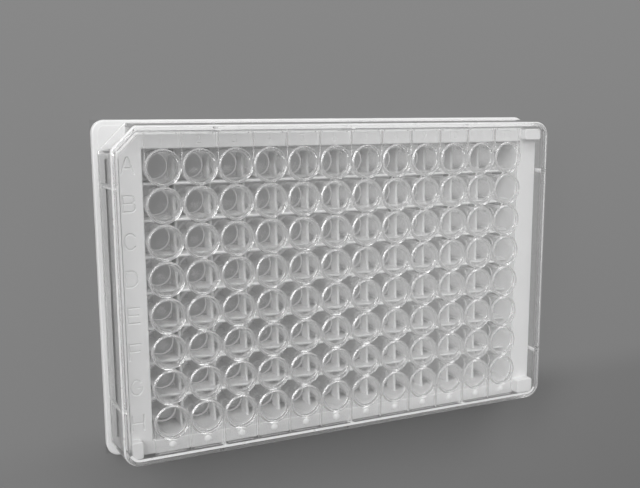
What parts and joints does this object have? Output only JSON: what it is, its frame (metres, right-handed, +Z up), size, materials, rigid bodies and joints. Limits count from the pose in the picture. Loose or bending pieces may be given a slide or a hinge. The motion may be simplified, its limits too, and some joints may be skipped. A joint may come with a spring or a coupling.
{
  "type": "well plate",
  "caption": "Flat laboratory microplate: removable clear strips of round flat-bottomed wells in a white ribbed frame, under a clear lid with one cut corner.",
  "frame": {"origin": "middle of the rectangular footprint, on the surface that the plate stands on", "axes": "+Z up, out of the wells; +X along the rows from column 1 to column 12; +Y along the columns towards row A"},
  "size_m": [0.1278, 0.0854, 0.0162],
  "materials": {
    "white_plastic": "white moulded plastic, fine satin texture",
    "clear_strip": "clear polished plastic",
    "clear_lid": "clear polished plastic"
  },
  "bodies": {
    "root": {"frame": "white_plastic", "strip_01": "clear_strip", "strip_02": "clear_strip", "strip_03": "clear_strip", "strip_04": "clear_strip", "strip_05": "clear_strip", "strip_06": "clear_strip", "strip_07": "clear_strip", "strip_08": "clear_strip", "strip_09": "clear_strip", "strip_10": "clear_strip", "strip_11": "clear_strip", "strip_12": "clear_strip", "lid": "clear_lid"}
  },
  "joints": []
}
